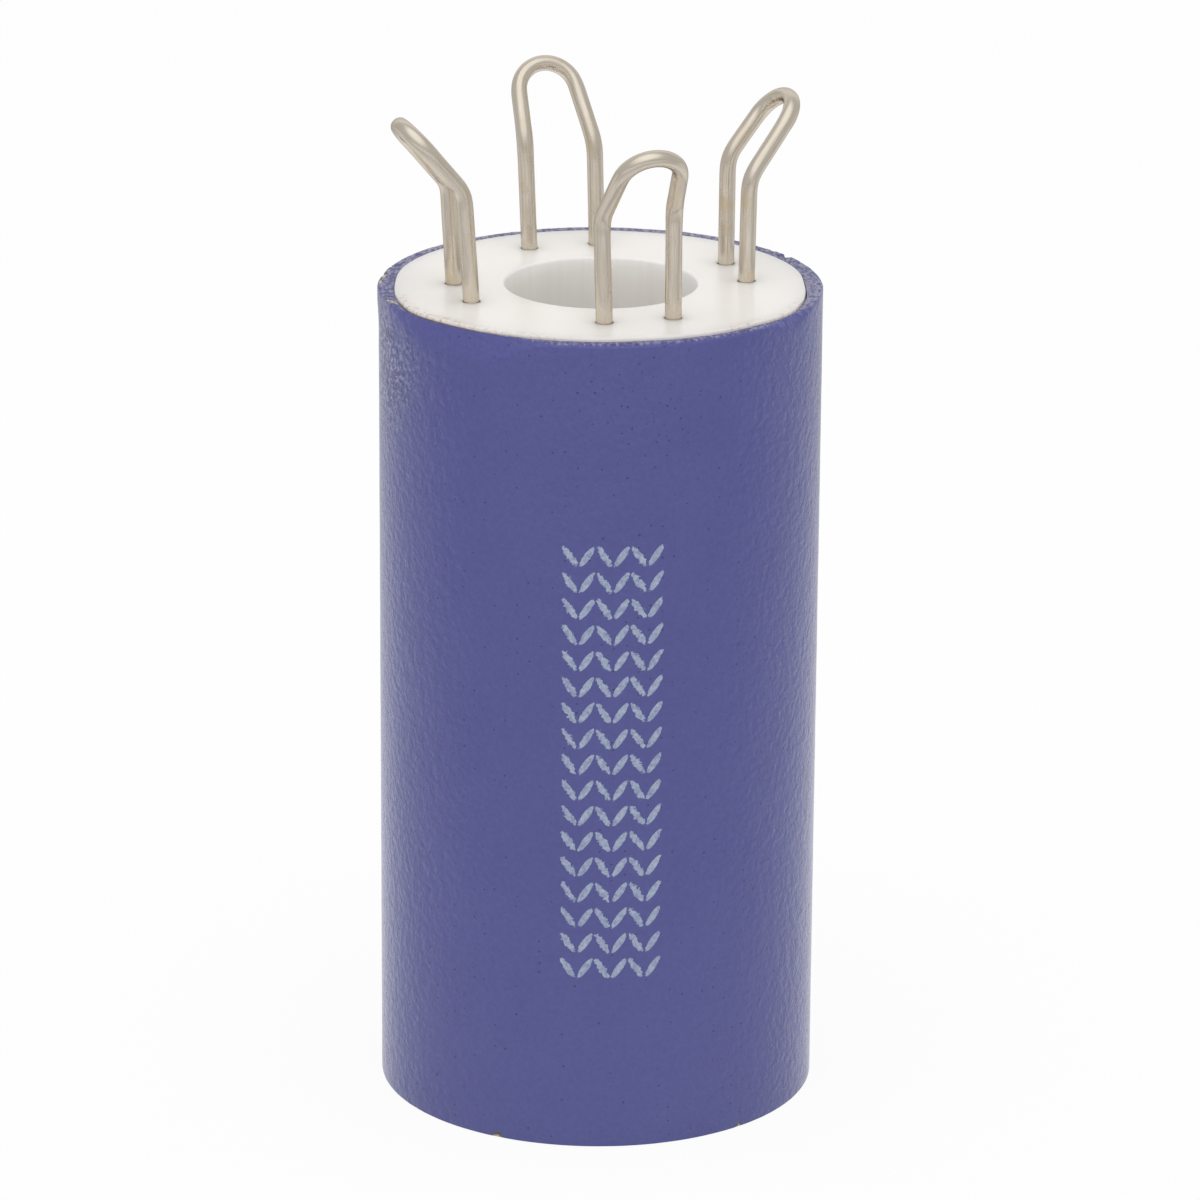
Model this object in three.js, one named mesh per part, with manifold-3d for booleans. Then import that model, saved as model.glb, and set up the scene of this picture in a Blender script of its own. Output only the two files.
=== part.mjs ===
// A spool knitter for craft wire: a short painted tube filled by a white plastic core with a
// bore down its middle, and four bent wire hooks that stand in holes drilled round the bore.
// Loops of wire are lifted over the hooks, and the finished chain is drawn down the bore.
//
// Millimetres, +Z up. The origin is the centre of the base. The hooks lean outwards along
// -Y (front), +X (right), +Y (back) and -X (left). Nothing on the tool moves.

import * as THREE from 'three';
import { mergeVertices } from 'three/addons/utils/BufferGeometryUtils.js';
import Module from 'manifold-3d';

// The tube.
const sleeveDiameter = 40.4;
const sleeveLength = 76.2;      // 3 in
const sleeveWall = 1.3;
const sleeveEdgeRound = 0.15;   // of the outer edges, under the paint

// The core, glued inside the tube.
const coreClearance = 0.1;      // all round, inside the tube
const coreProud = 0.15;         // above the tube's top edge
const coreEdgeRound = 0.3;
const boreDiameter = 17.5;      // 11/16 in
const boreEdgeRound = 0.2;

// The holes for the hooks' legs, drilled down into the core's wall.
const ringInset = 0.275;        // from the middle of the wall in towards the bore
const legSpacing = 6.35;        // 1/4 in, between the two legs of a hook
const holeDepth = 12;
const holeClearance = 0.1;      // round the wire, and under its end
const drillPointAngle = 118;    // degrees
const drillStart = 0.3;         // how far above the core's face the cut begins

// The wire, and the shape that each hook is bent to.
const wireDiameter = 1.5;
const bendHeight = 9.8;         // from the core's face up to the outward bend
const bendStep = 0.55;          // one leg is bent this much higher than the other
const bendEase = 1.3;           // how far each side of the bend the wire curves
const hookReach = 7.8;          // from the bend to the tip, along the kicked plane
const tipRadius = 2.8;          // of the wire's centre line round the tip

// What differs between the four hooks, which are bent by hand. All but the reach is in degrees.
//   heading    from +X, the way the hook leans out
//   kick       from upright, above the bend
//   reach      as a share of the usual reach
//   skew       of the tip to the side, in the kicked plane
//   lean       of the legs outwards, below the bend
//   drift      of the legs sideways
//   spread     of the two legs away from each other
const hooks = [
  {
    name: 'hook_front', heading: -91.1, kick: 35.6, reach: 0.96, skew: 4.6,
    lean: -0.6, drift: -0.9, spread: 1.8,
  },
  {
    name: 'hook_right', heading: 1.7, kick: 39.7, reach: 1.01, skew: 8.6,
    lean: 0.6, drift: 1.8, spread: -0.6,
  },
  {
    name: 'hook_back', heading: 89.3, kick: 32, reach: 0.99, skew: 5.9,
    lean: 5.8, drift: 0.6, spread: 1.8,
  },
  {
    name: 'hook_left', heading: 181, kick: 40.3, reach: 1.03, skew: 6.4,
    lean: 2.6, drift: -0.6, spread: -2.9,
  },
];

// How finely the round forms are cut.
const bodySegments = 96;
const holeSegments = 24;
const roundSteps = 1;           // half the steps round an edge
const wireSides = 12;
const wireStep = 1.1;           // along the wire

// Sizes that follow.
const coreRadius = sleeveDiameter / 2 - sleeveWall - coreClearance;
const coreLength = sleeveLength + coreProud;
const boreRadius = boreDiameter / 2;
const wireRadius = wireDiameter / 2;
const ringRadius = (boreRadius + coreRadius) / 2 - ringInset;
const legRadius = Math.sqrt(ringRadius ** 2 - (legSpacing / 2) ** 2);

const wasm = await Module();
wasm.setup();

// A closed geometry as a solid for cutting. Only its corners count, so they are merged.
function toSolid(geometry) {
  const bare = geometry.clone();
  bare.deleteAttribute('normal');
  bare.deleteAttribute('uv');
  const merged = mergeVertices(bare);
  const mesh = new wasm.Mesh({
    numProp: 3,
    vertProperties: new Float32Array(merged.getAttribute('position').array),
    triVerts: new Uint32Array(merged.getIndex().array),
  });
  return new wasm.Manifold(mesh);
}

function toGeometry(solid) {
  const mesh = solid.getMesh();
  const geometry = new THREE.BufferGeometry();
  geometry.setAttribute('position', new THREE.BufferAttribute(mesh.vertProperties, 3));
  geometry.setIndex(new THREE.BufferAttribute(mesh.triVerts, 1));
  geometry.computeVertexNormals();
  return geometry;
}

// A wall turned about Z, from an inner to an outer radius, that stands on Z = 0.
// The edges outside are rounded, and those inside too if a round is given for them.
function turnedWall(inner, outer, length, outerRound, innerRound = 0) {
  const quarter = Math.PI / 2;
  const profile = new THREE.Path();
  profile.moveTo(inner + innerRound, 0);
  profile.lineTo(outer - outerRound, 0);
  profile.absarc(outer - outerRound, outerRound, outerRound, -quarter, 0);
  profile.lineTo(outer, length - outerRound);
  profile.absarc(outer - outerRound, length - outerRound, outerRound, 0, quarter);
  profile.lineTo(inner + innerRound, length);
  if (innerRound > 0) {
    profile.absarc(inner + innerRound, length - innerRound, innerRound, quarter, 2 * quarter);
    profile.lineTo(inner, innerRound);
    profile.absarc(inner + innerRound, innerRound, innerRound, 2 * quarter, 3 * quarter);
  } else {
    profile.lineTo(inner, 0);
  }
  const points = profile.getPoints(roundSteps);
  points[points.length - 1].copy(points[0]);
  return new THREE.LatheGeometry(points, bodySegments).rotateX(quarter);
}

function makeSleeve() {
  const outer = sleeveDiameter / 2;
  const geometry = turnedWall(outer - sleeveWall, outer, sleeveLength, sleeveEdgeRound);
  const blueGloss = new THREE.MeshStandardMaterial({ color: 0x595c8e, roughness: 0.45, metalness: 0 });
  const sleeve = new THREE.Mesh(geometry, blueGloss);
  sleeve.name = 'sleeve';
  return sleeve;
}

// What one drilled hole takes away, with the drill's point below Z = 0.
function drilledHole() {
  const radius = wireRadius + holeClearance;
  const point = radius / Math.tan(THREE.MathUtils.degToRad(drillPointAngle / 2));
  const top = holeDepth + drillStart;
  const profile = [
    new THREE.Vector2(0, -point),
    new THREE.Vector2(radius, 0),
    new THREE.Vector2(radius, top),
    new THREE.Vector2(0, top),
  ];
  return new THREE.LatheGeometry(profile, holeSegments).rotateX(Math.PI / 2);
}

function makeCore() {
  let solid = toSolid(turnedWall(boreRadius, coreRadius, coreLength, coreEdgeRound, boreEdgeRound));
  for (const hook of hooks) {
    for (const side of [-legSpacing / 2, legSpacing / 2]) {
      const hole = drilledHole().translate(legRadius, side, coreLength - holeDepth);
      hole.rotateZ(THREE.MathUtils.degToRad(hook.heading));
      solid = solid.subtract(toSolid(hole));
    }
  }
  const whitePlastic = new THREE.MeshStandardMaterial({ color: 0xece8e4, roughness: 0.4, metalness: 0 });
  const core = new THREE.Mesh(toGeometry(solid), whitePlastic);
  core.name = 'core';
  return core;
}

// The round of the hook's tip, from one angle to another in the plane of two unit vectors.
class TipArc extends THREE.Curve {
  constructor(centre, across, along, radius, from, to) {
    super();
    Object.assign(this, { centre, across, along, radius, from, to });
  }

  getPoint(t, target = new THREE.Vector3()) {
    const angle = THREE.MathUtils.lerp(this.from, this.to, t);
    return target.copy(this.centre)
      .addScaledVector(this.across, this.radius * Math.cos(angle))
      .addScaledVector(this.along, this.radius * Math.sin(angle));
  }
}

// Adds a straight run towards a corner and the eased bend at it, and returns where that ends.
function runRoundCorner(route, from, corner, to) {
  const before = from.clone().sub(corner).setLength(bendEase).add(corner);
  const after = to.clone().sub(corner).setLength(bendEase).add(corner);
  route.add(new THREE.LineCurve3(from, before));
  route.add(new THREE.QuadraticBezierCurve3(before, corner, after));
  return after;
}

// How far to the side a length has gone at its far end, if it leans by some degrees.
function sideways(length, degrees) {
  return length * Math.tan(THREE.MathUtils.degToRad(degrees));
}

// The wire's centre line, from the foot of one leg over the tip to the foot of the other,
// for a hook that leans out along +X.
function hookRoute(hook) {
  const legs = [-1, 1].map((side) => {
    const y = side * legSpacing / 2;
    const foot = new THREE.Vector3(legRadius, y, coreLength - holeDepth + holeClearance);
    const mouth = new THREE.Vector3(legRadius, y, coreLength);
    const bend = new THREE.Vector3(
      legRadius + sideways(bendHeight, hook.lean),
      y + sideways(bendHeight, hook.drift + side * hook.spread / 2),
      coreLength + bendHeight + side * bendStep / 2,
    );
    return { foot, mouth, bend };
  });

  // The kicked plane: across from bend to bend, and along towards the tip.
  const [first, last] = legs;
  const middle = first.bend.clone().lerp(last.bend, 0.5);
  const across = last.bend.clone().sub(first.bend);
  const halfSpan = across.length() / 2;
  across.normalize();
  const kick = THREE.MathUtils.degToRad(hook.kick);
  const along = new THREE.Vector3(Math.sin(kick), 0, Math.cos(kick));
  along.addScaledVector(across, -along.dot(across)).normalize();

  // Each limb runs straight to where it touches the tip's circle.
  const reach = hookReach * hook.reach;
  const rise = reach - tipRadius;
  const tipShift = sideways(reach, hook.skew);
  const centre = middle.clone().addScaledVector(across, tipShift).addScaledVector(along, rise);
  const touch = (side) => {
    const x = side * halfSpan - tipShift;
    return Math.atan2(-rise, x) + side * Math.acos(tipRadius / Math.hypot(x, rise));
  };
  const tip = new TipArc(centre, across, along, tipRadius, touch(-1) + 2 * Math.PI, touch(1));

  const route = new THREE.CurvePath();
  route.add(new THREE.LineCurve3(first.foot, first.mouth));
  const tipStart = tip.getPoint(0);
  const tipEnd = tip.getPoint(1);
  const firstLimb = runRoundCorner(route, first.mouth, first.bend, tipStart);
  route.add(new THREE.LineCurve3(firstLimb, tipStart));
  route.add(tip);
  const lastLimb = runRoundCorner(route, tipEnd, last.bend, last.mouth);
  route.add(new THREE.LineCurve3(lastLimb, last.mouth));
  route.add(new THREE.LineCurve3(last.mouth, last.foot));
  return route;
}

function makeHook(hook) {
  const route = hookRoute(hook);
  const section = new THREE.Shape().absarc(0, 0, wireRadius, 0, 2 * Math.PI);
  const geometry = new THREE.ExtrudeGeometry(section, {
    steps: Math.round(route.getLength() / wireStep),
    curveSegments: wireSides / 2,
    extrudePath: route,
  });
  const brightSteel = new THREE.MeshStandardMaterial({ color: 0xc3b9aa, roughness: 0.3, metalness: 1 });
  const mesh = new THREE.Mesh(geometry, brightSteel);
  mesh.name = hook.name;
  mesh.rotation.z = THREE.MathUtils.degToRad(hook.heading);
  return mesh;
}

const knitter = new THREE.Group();
knitter.add(makeSleeve(), makeCore(), ...hooks.map(makeHook));

export default knitter;
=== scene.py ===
import math

import bpy
from mathutils import Matrix, Vector, noise


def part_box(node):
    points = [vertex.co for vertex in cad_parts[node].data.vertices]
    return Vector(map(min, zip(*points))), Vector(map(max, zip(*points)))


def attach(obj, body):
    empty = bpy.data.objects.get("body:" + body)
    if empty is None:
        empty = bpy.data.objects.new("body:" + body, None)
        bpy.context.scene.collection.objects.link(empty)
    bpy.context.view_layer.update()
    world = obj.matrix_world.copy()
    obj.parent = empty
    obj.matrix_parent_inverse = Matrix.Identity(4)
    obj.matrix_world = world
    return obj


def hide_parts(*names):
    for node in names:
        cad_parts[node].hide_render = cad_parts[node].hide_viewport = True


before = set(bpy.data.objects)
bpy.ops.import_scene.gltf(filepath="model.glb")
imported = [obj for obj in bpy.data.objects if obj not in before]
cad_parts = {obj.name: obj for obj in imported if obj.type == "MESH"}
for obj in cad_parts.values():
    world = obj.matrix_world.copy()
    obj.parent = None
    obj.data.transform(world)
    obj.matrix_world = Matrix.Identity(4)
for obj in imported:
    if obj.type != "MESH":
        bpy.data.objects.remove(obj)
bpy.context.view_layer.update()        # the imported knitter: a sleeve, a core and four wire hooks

mm = 0.001               # every length below is in millimetres until its mesh is made

# The camera that took the photograph: 1200 x 1200, on a 36 mm sensor.
# Turns round the knitter are told as that camera sees them:
# 0 is the right-hand edge, 90 the back, 180 the left-hand edge and 270 the front.
photo = {
    "azimuth": -16.2,    # where the camera stands, in degrees
    "away": 552.05,      # from the knitter's axis
    "aside": 0.11,       # to the right of it
    "height": 227.135,   # over the table
    "pitch": 18.158,     # degrees down
    "roll": 0.381,
    "lens": 188.75,
    "sensor": 36,
    "sight": 20000,      # how far it sees
}


def atTurn(turn, radius, height=0.0):
    angle = math.radians(turn + photo["azimuth"])
    return Vector((radius * math.cos(angle), radius * math.sin(angle), height))


def degreesApart(turn, other):
    return abs((turn - other + 180) % 360 - 180)


def linear(hexColour):
    channels = [int(hexColour[i:i + 2], 16) / 255 for i in (1, 3, 5)]
    return [c / 12.92 if c <= 0.04045 else ((c + 0.055) / 1.055) ** 2.4 for c in channels] + [1.0]


def smooth(low, high, value):
    t = min(max((value - low) / (high - low), 0.0), 1.0)
    return t * t * (3 - 2 * t)


# Gives the function that adds a node to a tree, sets its settings, and sets or links its inputs,
# by number or by name. A node given for an input is linked by its first output in use, and a
# text is a colour. Map Range goes from inputs 1 and 2 to inputs 3 and 4, or to 0 and 1.
def nodeAdder(tree):
    def add(kind, inputs=None, **settings):
        node = tree.nodes.new("ShaderNode" + kind)
        for name, value in settings.items():
            setattr(node, name, value)
        for key, value in (inputs or {}).items():
            if isinstance(key, str):
                socket = next(i for i in node.inputs if i.enabled and i.name == key)
            else:
                socket = node.inputs[key]
            if isinstance(value, bpy.types.Node):
                value = next(output for output in value.outputs if output.enabled)
            if isinstance(value, bpy.types.NodeSocket):
                tree.links.new(value, socket)
            else:
                socket.default_value = linear(value) if isinstance(value, str) else value
        return node
    return add


def newMaterial(name):
    material = bpy.data.materials.new(name)
    material.use_nodes = True
    material.node_tree.nodes.clear()
    return material, nodeAdder(material.node_tree)


# The place on the object in millimetres, so a texture's scale is 1 over the size of its cells.
def millimetres(add):
    place = add("TexCoord").outputs["Object"]
    return add("VectorMath", {0: place, "Scale": 1 / mm}, operation="SCALE")


# A new object from points in millimetres and the faces between them.
def newObject(name, verts, faces):
    mesh = bpy.data.meshes.new(name)
    mesh.from_pydata([place * mm for place in verts], [], faces)
    thing = bpy.data.objects.new(name, mesh)
    bpy.context.scene.collection.objects.link(thing)
    return thing


def smoothFaces(piece, sharpAngle):
    piece.data.shade_smooth()
    piece.data.set_sharp_from_angle(angle=math.radians(sharpAngle))


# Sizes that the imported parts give.
sleeveLow, sleeveHigh = (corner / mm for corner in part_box("sleeve"))
coreLow, coreHigh = (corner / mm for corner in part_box("core"))
sleeveRadius = (sleeveHigh.x - sleeveLow.x) / 2
coreRadius = (coreHigh.x - coreLow.x) / 2
sleeveTop = sleeveHigh.z
coreTop = coreHigh.z
print("frame loaded: sleeve", round(sleeveRadius * 2, 2), "x", round(sleeveTop, 2), "mm")


# Sleeve

sleeve = {
    "segments": 720,
    "wallStep": 0.9,
    "shoulderSteps": 8,      # and as many across the rim's face
    "footRound": 0.12,
    "footFace": 0.6,         # width of the foot's innermost ring of faces
    "lipRound": 0.06,
    "lipDepth": 1.4,         # how deep the rim's own shape reaches down the inside
    "swell": 0.04,           # how far the paint on the rim swells between its two edges
    "lump": 0.03,            # uneven paint on the rim
    "ripple": 0.012,         # uneven paper under the paint on the wall
    "paint": 0.04,           # its thickness, missing in the bare spots
    "gap": 0.07,             # between the sleeve's lip and the core
    "bulge": 0.12,           # of the wall's top edge at the left
    "bulgeTurn": 182,
}

# The hand-cut rim every 15 degrees of turn, three rows to a line: the radius of its lip, where
# the white core begins, its height over the sleeve's own, and how far its shoulder is worn off,
# inwards and downwards.
rimShape = [
    (18.58, 0.06, 0.14, 0.12), (18.74, 0.04, 0.14, 0.12), (18.72, 0.1, 0.14, 0.12),
    (18.7, 0.04, 0.2, 0.16), (18.66, 0.12, 0.2, 0.16), (18.62, 0.1, 0.2, 0.16),
    (18.69, 0.12, 0.2, 0.16), (18.79, 0.12, 0.2, 0.16), (18.76, 0.06, 0.2, 0.16),
    (18.8, 0.08, 0.18, 0.14), (18.89, 0.06, 0.16, 0.12), (18.88, 0.04, 0.14, 0.1),
    (18.74, 0.02, 0.14, 0.12), (19.1, 0.0, 0.2, 0.2), (19.58, -0.06, 0.42, 0.9),
    (19.14, -0.1, 0.9, 2.1), (19.0, -0.06, 1.0, 2.1), (18.89, -0.04, 0.6, 0.4),
    (18.83, -0.04, 0.45, 0.3), (18.88, -0.04, 0.5, 0.3), (19.06, -0.04, 0.5, 0.35),
    (19.14, -0.04, 0.45, 0.35), (19.44, -0.04, 0.6, 0.8), (19.07, 0.0, 0.25, 0.2),
]

# Dents in the rim's outer edge: turn, half width in degrees, and depth.
rimDents = [
    (31, 2.0, 0.3), (37.5, 1.2, 0.05), (24, 0.5, 0.06),
    (163, 0.8, 0.07), (171, 1.3, 0.08), (112, 1.6, 0.05),
]

# Spots where the paint is off the paper: turn, radius, height, half length round the rim and
# half width.
bareSpots = [
    (167, 19.9, 76.2, 0.7, 0.14), (172.5, 19.95, 76.2, 1.1, 0.24), (178.5, 20.08, 76.15, 0.9, 0.2),
    (171, 20.2, 76.0, 1.3, 0.14), (196.2, 19.95, 76.15, 0.45, 0.15), (198, 19.73, 76.18, 0.5, 0.17),
    (199.9, 19.55, 76.12, 0.5, 0.17), (206, 19.66, 76.1, 1.0, 0.04), (2, 18.8, 76.28, 0.4, 0.08),
    (8, 18.92, 76.26, 0.5, 0.09), (52, 19.7, 76.25, 0.9, 0.07), (66, 19.85, 76.3, 0.8, 0.09),
    (82, 19.7, 76.3, 0.6, 0.09), (99, 19.8, 76.3, 0.9, 0.08), (109, 19.5, 76.3, 0.6, 0.07),
    (131, 19.6, 76.28, 0.5, 0.08), (243.3, 20.2, 0.03, 0.6, 0.12), (214, 20.2, 0.03, 0.4, 0.1),
    (311, 20.2, 0.03, 0.5, 0.1),
]


# The rim's shape at any turn, on a smooth curve through the rows of the table.
def rimAt(turn):
    step = 360 / len(rimShape)
    before = int(turn % 360 // step)
    share = turn % 360 / step - before
    shape = []
    for column in range(4):
        a, b, c, d = [rimShape[(before + i) % len(rimShape)][column] for i in (-1, 0, 1, 2)]
        curve = 2 * a - 5 * b + 4 * c - d + share * (3 * (b - c) + d - a)
        shape.append(b + share / 2 * (c - a + share * curve))
    return shape


# How bare the paper is at a place: 1 well inside a spot, and 0 a little past its edge.
def bareness(turn, radius, height):
    most = 0.0
    for spotTurn, spotRadius, spotHeight, halfLength, halfWidth in bareSpots:
        along = math.radians(degreesApart(turn, spotTurn)) * radius / halfLength
        across = math.hypot(radius - spotRadius, height - spotHeight) / halfWidth
        most = max(most, 1.6 - math.hypot(along, across))
    return min(max(most, 0.0), 1.0)


def arc(centreRadius, centreHeight, radius, first, last, count):
    points = []
    for i in range(count + 1):
        angle = math.radians(first + (last - first) * i / count)
        points.append((centreRadius + radius * math.cos(angle),
                       centreHeight + radius * math.sin(angle)))
    return points


# One section of the sleeve at some turn, as (radius, height), round from the foot's inside.
def plainSection(turn):
    lip, crest, shoulder, drop = rimAt(turn)
    inner = coreRadius + sleeve["gap"]
    foot, lipRound, count = sleeve["footRound"], sleeve["lipRound"], sleeve["shoulderSteps"]
    top = sleeveTop + crest
    wallTop = top - drop
    wallSteps = round(sleeveTop / sleeve["wallStep"])
    points = [(inner, 0.0), (inner + sleeve["footFace"], 0.0)]
    points += arc(sleeveRadius - foot, foot, foot, -90, 0, 4)
    points += [(sleeveRadius, foot + (wallTop - foot) * i / wallSteps) for i in range(1, wallSteps)]
    straight = 1 + smooth(0.35, 0.9, drop)       # a small shoulder is round, a worn one nearly flat
    for i in range(count + 1):
        angle = math.pi / 2 * i / count
        inwards, upwards = 1 - math.cos(angle) ** straight, math.sin(angle) ** straight
        points.append((sleeveRadius - shoulder * inwards, wallTop + drop * upwards))
    faceWidth = sleeveRadius - shoulder - lip - lipRound
    points += [(lip + lipRound + faceWidth * (1 - i / count), top) for i in range(1, count)]
    points += arc(lip + lipRound, top - lipRound, lipRound, 90, 180, 3)
    for depth in (0.3, 0.7, sleeve["lipDepth"], 4, 30, 60):
        share = smooth(sleeve["lipDepth"], 0.3, depth)
        points.append((inner + (lip - inner) * share, top - depth))
    return points


# The same section with the rim's swell, lumps and dents, the wall's ripple and the bare spots.
def sleeveSection(turn):
    lip, crest, _, drop = rimAt(turn)
    top = sleeveTop + crest
    points = []
    for radius, height in plainSection(turn):
        outward = min(max((radius - lip) / (sleeveRadius - lip), 0.0), 1.0)
        onRim = smooth(top - 0.8 * drop - 0.3, top - 0.02, height)
        spot = atTurn(turn, radius, height)
        lump = noise.noise(spot * 0.9) + 0.6 * noise.noise(spot * 2.3)
        swell = sleeve["swell"] * math.sin(math.pi * outward)
        height += onRim * (swell + sleeve["lump"] * lump)
        for dentTurn, halfWidth, depth in rimDents:
            near = degreesApart(turn, dentTurn) / halfWidth
            dent = depth * onRim * outward * max(0.0, 1 - near * near)
            height -= dent
            radius -= 0.5 * dent
        bulge = smooth(12, 3, abs(turn - sleeve["bulgeTurn"]))
        bulge *= smooth(sleeveTop - 3.5, sleeveTop - 0.8, height)
        radius += sleeve["bulge"] * bulge * smooth(0.4, 1.0, outward)
        if outward > 0.9:
            ripple = noise.noise(spot * 0.55) + 0.5 * noise.noise(spot * 1.4) - 0.8
            radius += sleeve["ripple"] * ripple
        bare = bareness(turn, radius, height)
        radius -= sleeve["paint"] * bare * smooth(0.5, 1.0, outward)
        height -= sleeve["paint"] * bare * onRim
        points.append((radius, height, bare))
    return points


# A closed ring from its section at every turn: points that go round once, as (radius, height,
# mark). The mark is kept for the material: bare paper on the sleeve, dried glue on the core.
def turnedRing(name, segments, sectionAt):
    verts, marks = [], []
    for i in range(segments):
        turn = 360 * i / segments
        section = sectionAt(turn)
        for radius, height, mark in section:
            verts.append(atTurn(turn, radius, height))
            marks.append(mark)
    count = len(section)
    faces = []
    for i in range(segments):
        here, there = i * count, (i + 1) % segments * count
        for j in range(count):
            k = (j + 1) % count
            faces.append((here + j, there + j, there + k, here + k))
    piece = newObject(name, verts, faces)
    marked = piece.data.attributes.new("mark", "FLOAT", "POINT")
    marked.data.foreach_set("value", marks)
    return piece


lacquer = {
    "blue": "#4F518F",
    "lightBlue": "#555894",
    "sunkBlueAndShade": "#36355E",       # where it has soaked into worn paper on the rim, and painted shade of the grain on the wall
    "sideFibre": "#938FA6",      # rubbed paper at the sides of the rim
    "backFibre": "#A39A97",      # at its back
    "wallGlint": "#A5A4CB",      # painted glints of the grain on the wall
    "wornTurn": 197,             # the middle of the worn patch on the wall
    "wornHeight": 70,
    "kraft": "#C6BEB4",
    "dirtyKraft": "#54463B",
    "roughness": 0.21,
    "rimRoughness": 0.42,
    "ior": 1.46,
}

# The print on the sleeve: a strip of plain knit stitches, each a V of two leaves.
stitches = {
    "turn": 273.6,           # of the strip's middle
    "columns": 3,
    "rows": 17,
    "low": 15.4,             # height of its foot
    "width": 3.1,
    "pitch": 2.45,
    "slope": 1.15,           # how steeply a leaf climbs
    "leaf": 0.52,            # half its height at its middle
    "leafReach": 0.22,       # half its length, as a share of the width
    "rough": 0.13,           # how far the ink's edges stray
    "ink": "#A9B5C8",
    "thinInk": "#7F88AE",
}

pinholes = {
    "spacing": 1.1,          # between the cells that may hold one
    "share": 0.17,           # of the cells that do
    "rimShare": 0.5,         # and on the rim
    "small": 0.05,           # radius
    "large": 0.11,
    # painted shade in the pits
    "colour": "#33355F",
}

# Where they crowd: turn, height, how far they reach, and the share of cells there.
pinholePatches = [(281, 69.5, 8, 0.75), (195, 60, 7, 0.45), (197, 40, 9, 0.35), (345, 62, 7, 0.3)]

# Deeper holes that stand alone: turn, height and radius.
namedHoles = [
    (223.7, 4.47, 0.16), (217.5, 26.5, 0.1), (229, 70.5, 0.1), (281.5, 66, 0.09), (296, 71.5, 0.09),
]


# Pinholes: some of the cells of the skin hold one, and more of them in the patches.
def pinholeMask(add, place, skin, onRim):
    spacing = pinholes["spacing"]
    share = add("MapRange", {0: onRim, 3: pinholes["share"], 4: pinholes["rimShare"]})
    for turn, height, reach, most in pinholePatches:
        heart = atTurn(turn, sleeveRadius, height)
        away = add("VectorMath", {0: place, 1: heart}, operation="DISTANCE")
        patch = add("MapRange", {0: away, 1: reach, 2: reach * 0.4, 4: most})
        share = add("Math", {0: share, 1: patch}, operation="MAXIMUM")
    cells = add("TexVoronoi", {"Vector": skin, "Scale": 1 / spacing}, voronoi_dimensions="2D")
    luck, sizeLuck, _ = add("SeparateColor", {0: cells.outputs["Color"]}).outputs
    chosen = add("Math", {0: luck, 1: share}, operation="LESS_THAN")
    smallest, largest = pinholes["small"] / spacing, pinholes["large"] / spacing
    size = add("MapRange", {0: sizeLuck, 3: smallest, 4: largest})
    inHole = add("Math", {0: cells.outputs["Distance"], 1: size}, operation="DIVIDE")
    hole = add("MapRange", {0: inHole, 1: 1.15, 2: 0.6}, interpolation_type="SMOOTHSTEP")
    holes = add("Math", {0: hole, 1: chosen}, operation="MULTIPLY")
    for turn, height, radius in namedHoles:
        heart = atTurn(turn, sleeveRadius, height)
        away = add("VectorMath", {0: place, 1: heart}, operation="DISTANCE")
        one = add("MapRange", {0: away, 1: radius, 2: radius * 0.5})
        holes = add("Math", {0: holes, 1: one}, operation="MAXIMUM")
    return holes


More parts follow.
